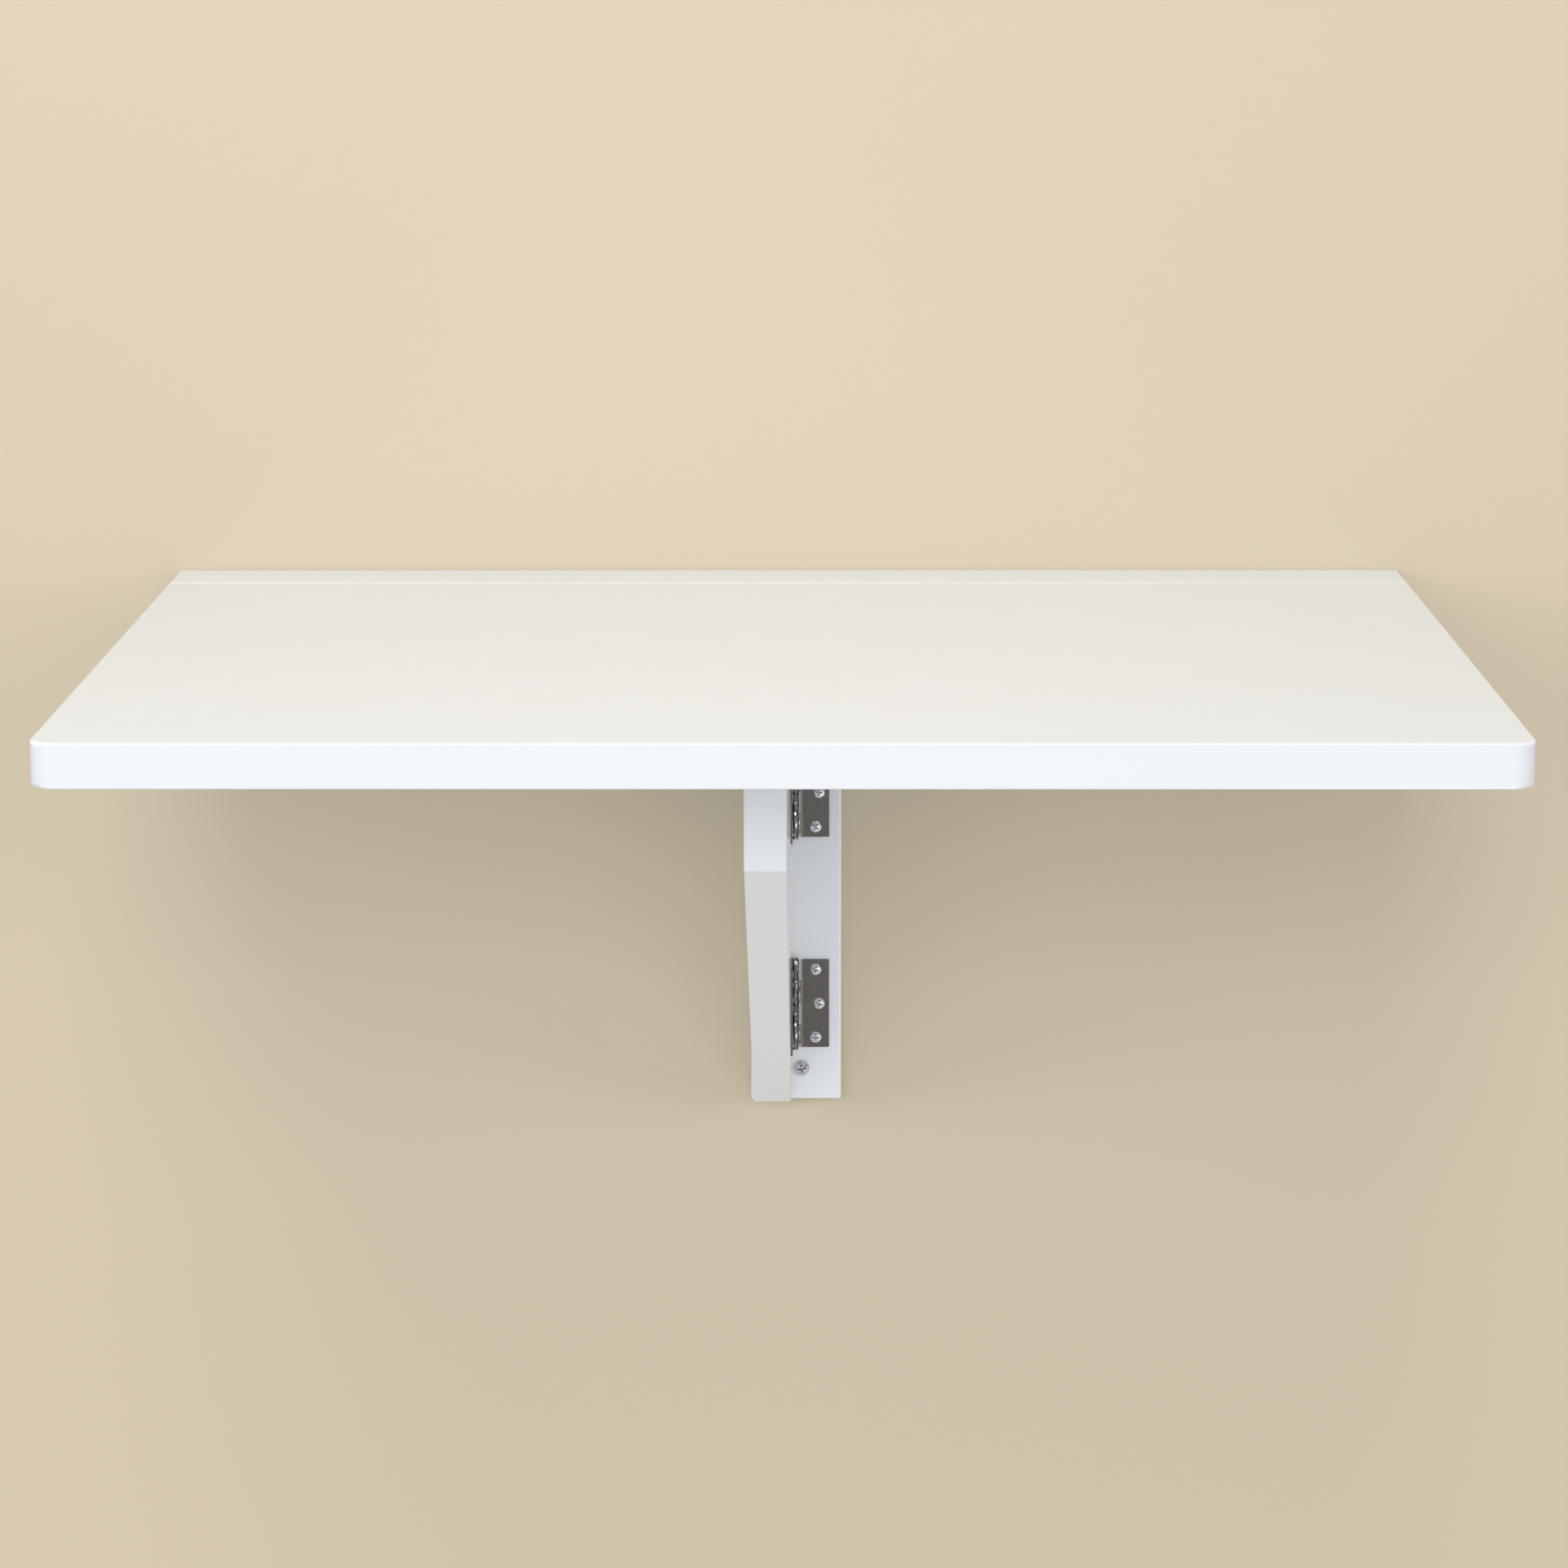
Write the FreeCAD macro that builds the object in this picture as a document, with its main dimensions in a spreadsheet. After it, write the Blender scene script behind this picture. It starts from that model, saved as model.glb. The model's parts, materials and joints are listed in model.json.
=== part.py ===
import FreeCAD, Part

# A wall mounted drop leaf table: a fixed rear strip on a wall frame, a leaf hinged to the strip
# and a bracket that swings out from the frame to carry the leaf.
#
# Millimetres. X runs to the right, -Y out from the wall, Z up. The wall is the plane Y = 0, and
# the origin is the middle of the rear strip's back face. The leaf is up and the bracket is out.

import math
import os
import types

import Sketcher
from FreeCAD import Placement, Rotation, Vector

# name, value, what it is
SIZES = (
    # tabletop
    ("table_width", 800, "rear strip and leaf, left to right"),
    ("table_depth", 600, "wall to the leaf's front edge"),
    ("board", 25, "thickness of the strip, the leaf and the bracket"),
    ("strip_depth", 52.5, "wall to the rear strip's front edge"),
    ("seam", 1, "gap between the rear strip and the leaf"),
    ("corner_radius", 12, "leaf's front corners, seen from above"),
    ("top_round", 2, "rounding of the tabletop's upper edges"),
    ("under_bevel", 1, "bevel of the tabletop's lower edges"),
    ("seam_bevel", 0.6, "bevel of the two upper edges at the seam"),
    # wall frame
    ("frame_board", 20, "thickness of the batten and the post"),
    ("batten_width", 700, "batten, left to right"),
    ("batten_height", 80, "batten, top to bottom"),
    ("post_width", 60, "post, left to right"),
    ("post_drop", 354, "tabletop's upper face to the post's foot"),
    ("post_offset", 5, "post's middle, right of the table's middle"),
    ("frame_round", 1.5, "rounding of the batten's and the post's edges"),
    # bracket
    ("hinge_inset", 29.4, "post's left edge to the bracket's hinge axis"),
    ("bracket_reach", 410, "wall to the bracket's front end"),
    ("bracket_nose", 111.5, "tabletop's upper face to the bottom of the bracket's front end"),
    ("bracket_foot_rise", 2, "post's foot to the bracket's foot"),
    ("bracket_toe", 14, "length of the flat under the bracket's foot"),
    ("bracket_round", 2, "rounding of the bracket's long edges"),
    ("bracket_gap", 0.5, "bracket's rear end to the post"),
    ("rest_gap", 0.3, "bracket's upper edge to the leaf"),
    ("notch_spare", 12, "room past each end of the leaf hinge in the bracket's notch"),
    ("notch_room", 1.2, "room under the leaf hinge's barrel in the bracket's notch"),
    ("notch_round", 3, "rounding of the notch's inner corners"),
    # butt hinges, all one size
    ("hinge_length", 60, "along the pin"),
    ("hinge_leaf", 22.5, "pin's axis to the plate's free edge"),
    ("hinge_sheet", 1.2, "thickness of the hinge's steel"),
    ("barrel_lift", 0.3, "barrel's clearance over the face that the plates lie on"),
    ("pin_diameter", 2.5, "hinge pin"),
    ("pin_play", 0.05, "running clearance round the pin, on the radius"),
    ("pin_head_height", 1.2, "each of the pin's heads"),
    ("pin_head_diameter", 4.4, "each of the pin's heads"),
    ("knuckle_gap", 0.3, "clearance between one knuckle and the next"),
    ("slot_gap", 1.9, "barrel to the edge of the plate beside the other plate's knuckle"),
    ("roll_end", 25, "degrees below the pin's axis at which the rolled knuckle ends"),
    ("screw_row", 13.6, "pin's axis to the two outer screws"),
    ("screw_middle", 15.8, "pin's axis to the middle screw"),
    ("screw_pitch", 23.2, "middle screw to an outer screw, along the pin"),
    ("plate_corner", 1, "rounding of the plate's outer corners"),
    # where the hinges sit
    ("upper_hinge_drop", 39.7, "post's top to the middle of the upper hinge"),
    ("lower_hinge_rise", 66, "post's foot to the middle of the lower hinge"),
    ("leaf_hinge_offset", 235, "table's middle to the middle of each leaf hinge"),
    # hinge screws
    ("head_diameter", 7.6, "hinge screw's countersunk head"),
    ("screw_diameter", 3.5, "hinge screw's shank"),
    ("screw_length", 15, "hinge screw below the plate"),
    ("hole_play", 0.05, "clearance round a screw or a dowel in its hole, on the radius"),
    ("hole_room", 0.5, "room past the end of a screw or a dowel in its hole"),
    # wall screws
    ("pan_diameter", 10, "wall screw's pan head"),
    ("pan_height", 3.2, "wall screw's pan head"),
    ("pan_rim", 1.4, "height of the pan head's upright rim"),
    ("wall_shank_diameter", 3.6, "wall screw's plain shank, inside the board"),
    ("wall_thread_diameter", 5, "wall screw's thread, inside the wall"),
    ("wall_thread_length", 34, "wall screw's thread, without its point"),
    ("wall_thread_start", 1, "wall's face to the start of the thread"),
    ("wall_screw_tip", 5, "length of the wall screw's point"),
    ("wall_hole_diameter", 5.6, "wall screw's clearance hole in the board"),
    ("inner_screw_offset", 110, "table's middle to the two inner wall screws in the batten"),
    ("outer_screw_offset", 310, "table's middle to the two outer wall screws in the batten"),
    ("foot_screw_offset", 3.7, "post's middle to the wall screw in its foot"),
    ("foot_screw_rise", 21.4, "post's foot to the wall screw in it"),
    # dowels
    ("dowel_diameter", 8, "beech dowel"),
    ("dowel_length", 34, "beech dowel"),
    ("dowel_in_strip", 14, "part of a strip dowel that is inside the strip"),
    ("dowel_in_post", 11, "part of a post dowel that is inside the post"),
    ("inner_dowel_offset", 60, "table's middle to the two inner strip dowels"),
    ("outer_dowel_offset", 180, "table's middle to the two outer strip dowels"),
    ("post_dowel_spacing", 32, "between the two dowels that join the post to the batten"),
)

KNUCKLES = 4

RIGHT = (1, 0, 0)
OUT = (0, -1, 0)
WALLWARD = (0, 1, 0)
UP = (0, 0, 1)
DOWN = (0, 0, -1)

# a sketch's points, as the constraints number them
SKETCH_ORIGIN = (-1, 1)
START, END, CENTRE = 1, 2, 3

NEAR = 1e-4

doc = FreeCAD.newDocument("WallDropLeafTable")


class Size:
    """A size as a number and as the sheet expression that gives the same number."""

    def __init__(self, number, text):
        self.number = number
        self.text = text

    @staticmethod
    def of(value):
        return value if isinstance(value, Size) else Size(value, f"{value:.10g}")

    def __add__(self, other):
        other = Size.of(other)
        return Size(self.number + other.number, f"({self.text} + {other.text})")

    def __sub__(self, other):
        other = Size.of(other)
        return Size(self.number - other.number, f"({self.text} - {other.text})")

    def __mul__(self, other):
        other = Size.of(other)
        return Size(self.number * other.number, f"({self.text} * {other.text})")

    def __truediv__(self, other):
        other = Size.of(other)
        return Size(self.number / other.number, f"({self.text} / {other.text})")

    def __neg__(self):
        return ZERO - self

    def cos(self):
        return Size(math.cos(math.radians(self.number)), f"cos({self.text})")

    def sin(self):
        return Size(math.sin(math.radians(self.number)), f"sin({self.text})")


ZERO = Size.of(0)


def fill_sheet():
    """Writes SIZES to a spreadsheet and returns them as one object's attributes."""
    sheet = doc.addObject("Spreadsheet::Sheet", "Sizes")
    found = types.SimpleNamespace()
    for row, (name, value, meaning) in enumerate(SIZES, 1):
        sheet.set(f"A{row}", name)
        sheet.set(f"B{row}", str(value))
        sheet.set(f"C{row}", meaning)
        sheet.setAlias(f"B{row}", name)
        setattr(found, name, Size(value, f"Sizes.{name}"))
    doc.recompute()
    return found


size = fill_sheet()

# ---- places that several pieces share --------------------------------------------------------

top_z = size.board / 2
under_z = -top_z
right_x = size.table_width / 2
leaf_rear_y = -(size.strip_depth + size.seam)
seam_y = -(size.strip_depth + size.seam / 2)

frame_front_y = -size.frame_board
frame_middle_y = frame_front_y / 2
batten_middle_z = under_z - size.batten_height / 2
post_top_z = under_z - size.batten_height
post_foot_z = top_z - size.post_drop
post_left_x = size.post_offset - size.post_width / 2

barrel_radius = size.pin_diameter / 2 + size.pin_play + size.hinge_sheet
axis_rise = barrel_radius + size.barrel_lift
knuckle_length = size.hinge_length / KNUCKLES
bracket_axis_x = post_left_x + size.hinge_inset
bracket_axis_y = frame_front_y - axis_rise
bracket_right_x = bracket_axis_x - axis_rise
leaf_axis_z = under_z - axis_rise

screw_spots = [
    (size.screw_row, -size.screw_pitch),
    (size.screw_middle, ZERO),
    (size.screw_row, size.screw_pitch),
]
batten_screw_x = [
    -size.outer_screw_offset,
    -size.inner_screw_offset,
    size.inner_screw_offset,
    size.outer_screw_offset,
]
strip_dowel_x = [
    -size.outer_dowel_offset,
    -size.inner_dowel_offset,
    size.inner_dowel_offset,
    size.outer_dowel_offset,
]
post_dowel_x = [
    size.post_offset - size.post_dowel_spacing / 2,
    size.post_offset + size.post_dowel_spacing / 2,
]
foot_screw_x = size.post_offset + size.foot_screw_offset
foot_screw_z = post_foot_z + size.foot_screw_rise


def shift(place, direction, distance):
    """A place in space, moved by a distance along one of the directions."""
    return tuple(p + distance * d if d else p for p, d in zip(place, direction))


def plate_seat(axis, along, facing):
    """Where a hinge plate lies: its origin, its directions and the places of its screws.

    axis is the middle of the hinge on its pin's axis. along runs from the pin to the plate's
    free edge, and facing stands on the face that the plate lies on.
    """
    origin = shift(axis, facing, -axis_rise)
    across = tuple(Vector(*facing).cross(Vector(*along)))
    screws = [shift(shift(origin, along, u), across, v) for u, v in screw_spots]
    return types.SimpleNamespace(origin=origin, along=along, facing=facing, screws=screws)


upper_axis = (bracket_axis_x, bracket_axis_y, post_top_z - size.upper_hinge_drop)
lower_axis = (bracket_axis_x, bracket_axis_y, post_foot_z + size.lower_hinge_rise)
left_axis = (-size.leaf_hinge_offset, seam_y, leaf_axis_z)
right_axis = (size.leaf_hinge_offset, seam_y, leaf_axis_z)

post_plates = {
    "upper_post_plate": plate_seat(upper_axis, RIGHT, OUT),
    "lower_post_plate": plate_seat(lower_axis, RIGHT, OUT),
}
bracket_plates = {
    "upper_bracket_plate": plate_seat(upper_axis, OUT, RIGHT),
    "lower_bracket_plate": plate_seat(lower_axis, OUT, RIGHT),
}
strip_plates = {
    "left_strip_plate": plate_seat(left_axis, WALLWARD, DOWN),
    "right_strip_plate": plate_seat(right_axis, WALLWARD, DOWN),
}
leaf_plates = {
    "left_leaf_plate": plate_seat(left_axis, OUT, DOWN),
    "right_leaf_plate": plate_seat(right_axis, OUT, DOWN),
}


def screw_places(plates):
    return [screw for seat in plates.values() for screw in seat.screws]


# ---- sketches and features -------------------------------------------------------------------


def new_body(label):
    body = doc.addObject("PartDesign::Body", label)
    body.Label = label
    return body


def new_sketch(body, name, plane, offset=ZERO):
    """A sketch on one of the body's origin planes, or offset along that plane's normal."""
    sketch = body.newObject("Sketcher::SketchObject", f"{body.Label}_{name}")
    support = next(f for f in body.Origin.OriginFeatures if f.Role == plane)
    sketch.AttachmentSupport = [(support, "")]
    sketch.MapMode = "FlatFace"
    sketch.setExpression("AttachmentOffset.Base.z", offset.text)
    return sketch


def constrain(sketch, kind, *terms):
    """Adds a constraint. The last term is its Size, which stays tied to the sheet."""
    *geometry, value = terms
    index = sketch.addConstraint(Sketcher.Constraint(kind, *geometry, value.number))
    sketch.setExpression(f"Constraints[{index}]", value.text)


def fix_point(sketch, geometry, point, place):
    """Sets how far a point of the geometry lies from the sketch's origin, across and up."""
    constrain(sketch, "DistanceX", *SKETCH_ORIGIN, geometry, point, place[0])
    constrain(sketch, "DistanceY", *SKETCH_ORIGIN, geometry, point, place[1])


def as_vector(place):
    return Vector(*(coordinate.number for coordinate in place))


def add_arc(sketch, corner, following, middle, clockwise):
    """An arc round a middle from one corner to the next, and its first and last points."""
    ends = (following, corner) if clockwise else (corner, following)
    radii = [as_vector(end) - as_vector(middle) for end in ends]
    circle = Part.Circle(as_vector(middle), Vector(*UP), radii[0].Length)
    angles = [math.atan2(radius.y, radius.x) for radius in radii]
    arc = sketch.addGeometry(Part.ArcOfCircle(circle, *angles))
    constrain(sketch, "DistanceX", *SKETCH_ORIGIN, arc, CENTRE, middle[0])
    return (arc, END, START) if clockwise else (arc, START, END)


def add_outline(sketch, corners, arcs=()):
    """A closed outline through the corners, each tied to the sheet.

    arcs gives the middle and the sense of each side that isn't straight, by the number of the
    corner where that side begins.
    """
    arcs = dict(arcs)
    sides = []
    for number, corner in enumerate(corners):
        following = corners[(number + 1) % len(corners)]
        if number in arcs:
            sides.append(add_arc(sketch, corner, following, *arcs[number]))
        else:
            line = Part.LineSegment(as_vector(corner), as_vector(following))
            sides.append((sketch.addGeometry(line), START, END))
    for corner, (side, first, last), beyond in zip(corners, sides, sides[1:] + sides[:1]):
        fix_point(sketch, side, first, corner)
        sketch.addConstraint(Sketcher.Constraint("Coincident", side, last, beyond[0], beyond[1]))


def add_rectangle(sketch, left, right, low, high):
    add_outline(sketch, [(left, low), (right, low), (right, high), (left, high)])


def add_circles(sketch, middles, diameter):
    for middle in middles:
        circle = Part.Circle(as_vector(middle), Vector(*UP), diameter.number / 2)
        ring = sketch.addGeometry(circle)
        fix_point(sketch, ring, CENTRE, middle)
        constrain(sketch, "Diameter", ring, diameter)


def pad(body, sketch, length, reverse=False, both_ways=False):
    feature = body.newObject("PartDesign::Pad", f"{sketch.Name}_pad")
    feature.Profile = sketch
    feature.Reversed = reverse
    feature.SideType = "Symmetric" if both_ways else "One side"
    feature.setExpression("Length", length.text)


def turn(body, sketch):
    """A full turn of a half profile about the sketch's upright axis."""
    feature = body.newObject("PartDesign::Revolution", f"{sketch.Name}_turn")
    feature.Profile = sketch
    feature.ReferenceAxis = (sketch, ["V_Axis"])
    feature.Angle = 360


def cut(body, sketch, depth=None, reverse=False):
    """A pocket behind the sketch, or before it if reversed. Without a depth it goes through."""
    feature = body.newObject("PartDesign::Pocket", f"{sketch.Name}_cut")
    feature.Profile = sketch
    feature.Reversed = reverse
    if depth is None:
        feature.SideType = "Symmetric"
        feature.Type = "ThroughAll"
    else:
        feature.setExpression("Length", depth.text)


def dress_edges(body, kind, measure, extent, wanted):
    """A fillet or a chamfer on the edges of the body's last shape where wanted(edge) is true."""
    doc.recompute()
    base = body.Tip
    names = [f"Edge{number}" for number, edge in enumerate(base.Shape.Edges, 1) if wanted(edge)]
    feature = body.newObject(f"PartDesign::{kind}", f"{base.Name}_{kind.lower()}")
    feature.Base = (base, names)
    feature.setExpression(measure, extent.text)


def round_edges(body, radius, wanted):
    dress_edges(body, "Fillet", "Radius", radius, wanted)


def bevel_edges(body, depth, wanted):
    dress_edges(body, "Chamfer", "Size", depth, wanted)


def lies_at(edge, **levels):
    """Whether an edge lies wholly at the given levels of x, y or z."""
    box = edge.BoundBox
    ends = {"x": (box.XMin, box.XMax), "y": (box.YMin, box.YMax), "z": (box.ZMin, box.ZMax)}
    return all(
        abs(end - level.number) < NEAR for axis, level in levels.items() for end in ends[axis]
    )


def frame_of(x_axis, z_axis):
    """The rotation that turns X and Z to these directions."""
    x_axis, z_axis = Vector(*x_axis), Vector(*z_axis)
    return Rotation(x_axis, z_axis.cross(x_axis), z_axis, "ZXY")


def put(thing, place, x_axis, z_axis):
    """Sets an object's Placement, with its position tied to the sheet."""
    thing.Placement = Placement(as_vector(place), frame_of(x_axis, z_axis))
    for axis, coordinate in zip("xyz", place):
        thing.setExpression(f"Placement.Base.{axis}", coordinate.text)


def copies(label, master, seats):
    """One sub-part made of separate copies of a master, at (place, x axis, z axis) seats."""
    links = []
    for number, seat in enumerate(seats, 1):
        link = doc.addObject("App::Link", f"{label}_{number}")
        link.LinkedObject = master
        put(link, *seat)
        links.append(link)
    compound = doc.addObject("Part::Compound", label)
    compound.Label = label
    compound.Links = links
    return compound


# ---- holes for the fasteners -----------------------------------------------------------------


def drill(body, name, plane, offset, spots, diameter, depth=None, reverse=False):
    """Round holes at spots on a plane, behind it or, if reversed, before it."""
    sketch = new_sketch(body, name, plane, offset)
    add_circles(sketch, spots, diameter)
    cut(body, sketch, depth, reverse)


def drill_for_screws(body, plane, offset, spots, reverse=False):
    bore = size.screw_diameter + size.hole_play * 2
    depth = size.screw_length + size.hole_room
    drill(body, "screw_holes", plane, offset, spots, bore, depth, reverse)


def drill_for_dowels(body, name, level_z, across, dowel_share, upward):
    """Dowel holes in the frame's middle plane, up or down from a level."""
    spots = [(x, frame_middle_y) for x in across]
    bore = size.dowel_diameter + size.hole_play * 2
    depth = dowel_share + size.hole_room
    drill(body, name, "XY_Plane", level_z, spots, bore, depth, reverse=upward)


# ---- boards ----------------------------------------------------------------------------------


def rear_strip():
    """The fixed part of the tabletop, against the wall."""
    body = new_body("rear_strip")
    sketch = new_sketch(body, "plan", "XY_Plane", under_z)
    add_rectangle(sketch, -right_x, right_x, -size.strip_depth, ZERO)
    pad(body, sketch, size.board)
    ends = (-right_x, right_x)
    bevel_edges(body, size.seam_bevel, lambda e: lies_at(e, y=-size.strip_depth, z=top_z))
    bevel_edges(body, size.under_bevel, lambda e: any(lies_at(e, x=x, z=under_z) for x in ends))
    round_edges(body, size.top_round, lambda e: any(lies_at(e, x=x, z=top_z) for x in ends))
    screws = [(x, y) for x, y, _ in screw_places(strip_plates)]
    drill_for_screws(body, "XY_Plane", under_z, screws, reverse=True)
    drill_for_dowels(body, "dowel_holes", under_z, strip_dowel_x, size.dowel_in_strip, True)
    return body


def table_leaf():
    """The part of the tabletop that folds down, with two round front corners."""
    body = new_body("table_leaf")
    front_y = -size.table_depth
    sketch = new_sketch(body, "plan", "XY_Plane", under_z)
    add_rectangle(sketch, -right_x, right_x, front_y, leaf_rear_y)
    pad(body, sketch, size.board)
    ends = (-right_x, right_x)
    round_edges(body, size.corner_radius, lambda e: any(lies_at(e, x=x, y=front_y) for x in ends))
    bevel_edges(body, size.seam_bevel, lambda e: lies_at(e, y=leaf_rear_y, z=top_z))
    bevel_edges(
        body, size.under_bevel, lambda e: lies_at(e, z=under_z) and not lies_at(e, y=leaf_rear_y)
    )
    seam_edge_y = leaf_rear_y - size.seam_bevel
    round_edges(
        body, size.top_round, lambda e: lies_at(e, z=top_z) and not lies_at(e, y=seam_edge_y)
    )
    screws = [(x, y) for x, y, _ in screw_places(leaf_plates)]
    drill_for_screws(body, "XY_Plane", under_z, screws, reverse=True)
    return body


def wall_batten():
    """The board behind the strip, which hangs the table on the wall."""
    body = new_body("wall_batten")
    side_x = size.batten_width / 2
    sketch = new_sketch(body, "plan", "XY_Plane", post_top_z)
    add_rectangle(sketch, -side_x, side_x, frame_front_y, ZERO)
    pad(body, sketch, size.batten_height)
    round_edges(
        body,
        size.frame_round,
        lambda e: lies_at(e, y=frame_front_y) and not lies_at(e, z=under_z),
    )
    screws = [(x, batten_middle_z) for x in batten_screw_x]
    drill(body, "wall_holes", "XZ_Plane", ZERO, screws, size.wall_hole_diameter)
    strip_share = size.dowel_length - size.dowel_in_strip
    drill_for_dowels(body, "strip_dowel_holes", under_z, strip_dowel_x, strip_share, False)
    post_share = size.dowel_length - size.dowel_in_post
    drill_for_dowels(body, "post_dowel_holes", post_top_z, post_dowel_x, post_share, True)
    return body


def wall_post():
    """The upright board that carries the bracket's hinges."""
    body = new_body("wall_post")
    post_right_x = post_left_x + size.post_width
    sketch = new_sketch(body, "plan", "XY_Plane", post_foot_z)
    add_rectangle(sketch, post_left_x, post_right_x, frame_front_y, ZERO)
    pad(body, sketch, post_top_z - post_foot_z)
    round_edges(
        body,
        size.frame_round,
        lambda e: lies_at(e, y=frame_front_y) and not lies_at(e, z=post_top_z),
    )
    wall_hole = [(foot_screw_x, foot_screw_z)]
    drill(body, "wall_hole", "XZ_Plane", ZERO, wall_hole, size.wall_hole_diameter)
    screws = [(x, z) for x, _, z in screw_places(post_plates)]
    drill_for_screws(body, "XZ_Plane", size.frame_board, screws)
    drill_for_dowels(body, "dowel_holes", post_top_z, post_dowel_x, size.dowel_in_post, False)
    return body


def bracket_board():
    """The swinging support, tapered to the front, with a notch that passes the leaf hinge."""
    body = new_body("bracket_board")
    rest_z = under_z - size.rest_gap
    nose_z = top_z - size.bracket_nose
    foot_z = post_foot_z + size.bracket_foot_rise
    rear_y = frame_front_y - size.bracket_gap
    front_y = -size.bracket_reach
    notch_z = leaf_axis_z - barrel_radius - size.notch_room
    hinge_reach = size.leaf_hinge_offset - bracket_axis_x
    notch_half = size.hinge_length / 2 + size.notch_spare
    notch_near_y = bracket_axis_y - hinge_reach + notch_half
    notch_far_y = bracket_axis_y - hinge_reach - notch_half
    corners = [
        (rear_y, rest_z),
        (front_y, rest_z),
        (front_y, nose_z),
        (rear_y - size.bracket_toe, foot_z),
        (rear_y, foot_z),
    ]
    sketch = new_sketch(body, "side", "YZ_Plane", bracket_right_x)
    add_outline(sketch, corners)
    pad(body, sketch, size.board, reverse=True)
    faces = (bracket_right_x, bracket_right_x - size.board)
    round_edges(body, size.bracket_round, lambda e: any(lies_at(e, x=x) for x in faces))
    notch_ends = (notch_near_y, notch_far_y)
    notch = new_sketch(body, "notch", "YZ_Plane", bracket_right_x)
    add_rectangle(notch, notch_far_y, notch_near_y, notch_z, rest_z)
    cut(body, notch)
    round_edges(
        body, size.notch_round, lambda e: any(lies_at(e, y=y, z=notch_z) for y in notch_ends)
    )
    screws = [(y, z) for _, y, z in screw_places(bracket_plates)]
    drill_for_screws(body, "YZ_Plane", bracket_right_x, screws)
    return body


# ---- butt hinges -----------------------------------------------------------------------------


def hinge_plate(label, seat):
    """One half of a butt hinge: a plate whose edge is rolled into knuckles round the pin.

    In its own frame the plate lies on Z = 0, the pin's axis runs along Y above the origin, and
    X runs to the free edge. The two halves of a hinge are the same, one turned end for end.
    """
    body = new_body(label)
    sheet = size.hinge_sheet
    slot_x = barrel_radius + size.slot_gap
    bore = barrel_radius - sheet
    roll_x = size.roll_end.cos()
    roll_z = size.roll_end.sin()
    axis = (ZERO, axis_rise)
    corners = [
        (size.hinge_leaf, ZERO),
        (size.hinge_leaf, sheet),
        (slot_x, sheet),
        (ZERO, size.barrel_lift + sheet),
        (bore * roll_x, axis_rise - bore * roll_z),
        (barrel_radius * roll_x, axis_rise - barrel_radius * roll_z),
        (ZERO, size.barrel_lift),
        (slot_x, ZERO),
    ]
    profile = new_sketch(body, "profile", "XZ_Plane")
    add_outline(profile, corners, {3: (axis, True), 5: (axis, False)})
    pad(body, profile, size.hinge_length, both_ways=True)
    half = size.hinge_length / 2
    ends = (-half, half)
    round_edges(
        body,
        size.plate_corner,
        lambda e: any(lies_at(e, x=size.hinge_leaf, y=end) for end in ends),
    )
    slots = new_sketch(body, "slots", "XY_Plane")
    for number in range(1, KNUCKLES, 2):
        low = knuckle_length * number - half - size.knuckle_gap / 2
        high = low + knuckle_length + size.knuckle_gap
        add_rectangle(slots, -slot_x, slot_x, low, high)
    cut(body, slots)
    countersink_holes(body)
    put(body, seat.origin, seat.along, seat.facing)
    return body


def countersink_holes(body):
    """The plate's three screw holes, sunk through the whole sheet to suit a 90 degree head."""
    sketch = new_sketch(body, "holes", "XY_Plane", size.hinge_sheet)
    rim = size.head_diameter + size.hole_play * 2
    bore = rim - size.hinge_sheet * 2
    add_circles(sketch, screw_spots, bore)
    hole = body.newObject("PartDesign::Hole", f"{body.Label}_countersinks")
    hole.Profile = sketch
    doc.recompute()
    hole.DepthType = "ThroughAll"
    hole.ThreadType = "None"
    hole.HoleCutType = "Countersink"
    hole.HoleCutCustomValues = True
    hole.HoleCutCountersinkAngle = 90
    hole.setExpression("Diameter", bore.text)
    hole.setExpression("HoleCutDiameter", rim.text)


def hinge_pin(label, axis, direction, x_axis):
    """A headed pin along Z, with the hinge's middle at its origin."""
    body = new_body(label)
    radius = size.pin_diameter / 2
    head_radius = size.pin_head_diameter / 2
    shoulder_z = (size.hinge_length + size.knuckle_gap) / 2
    end_z = shoulder_z + size.pin_head_height
    corners = [
        (ZERO, -end_z),
        (head_radius, -end_z),
        (head_radius, -shoulder_z),
        (radius, -shoulder_z),
        (radius, shoulder_z),
        (head_radius, shoulder_z),
        (head_radius, end_z),
        (ZERO, end_z),
    ]
    profile = new_sketch(body, "profile", "XZ_Plane")
    add_outline(profile, corners)
    turn(body, profile)
    put(body, axis, x_axis, direction)
    return body


# ---- screws and dowels -----------------------------------------------------------------------


def hinge_screw():
    """A countersunk screw. Z = 0 is the face under the hinge plate."""
    body = new_body("hinge_screw")
    head = size.head_diameter / 2
    shank = size.screw_diameter / 2
    corners = [
        (ZERO, -size.screw_length),
        (shank, -size.screw_length),
        (shank, ZERO),
        (head - size.hinge_sheet, ZERO),
        (head, size.hinge_sheet),
        (ZERO, size.hinge_sheet),
    ]
    profile = new_sketch(body, "profile", "XZ_Plane")
    add_outline(profile, corners)
    turn(body, profile)
    return body


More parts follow.
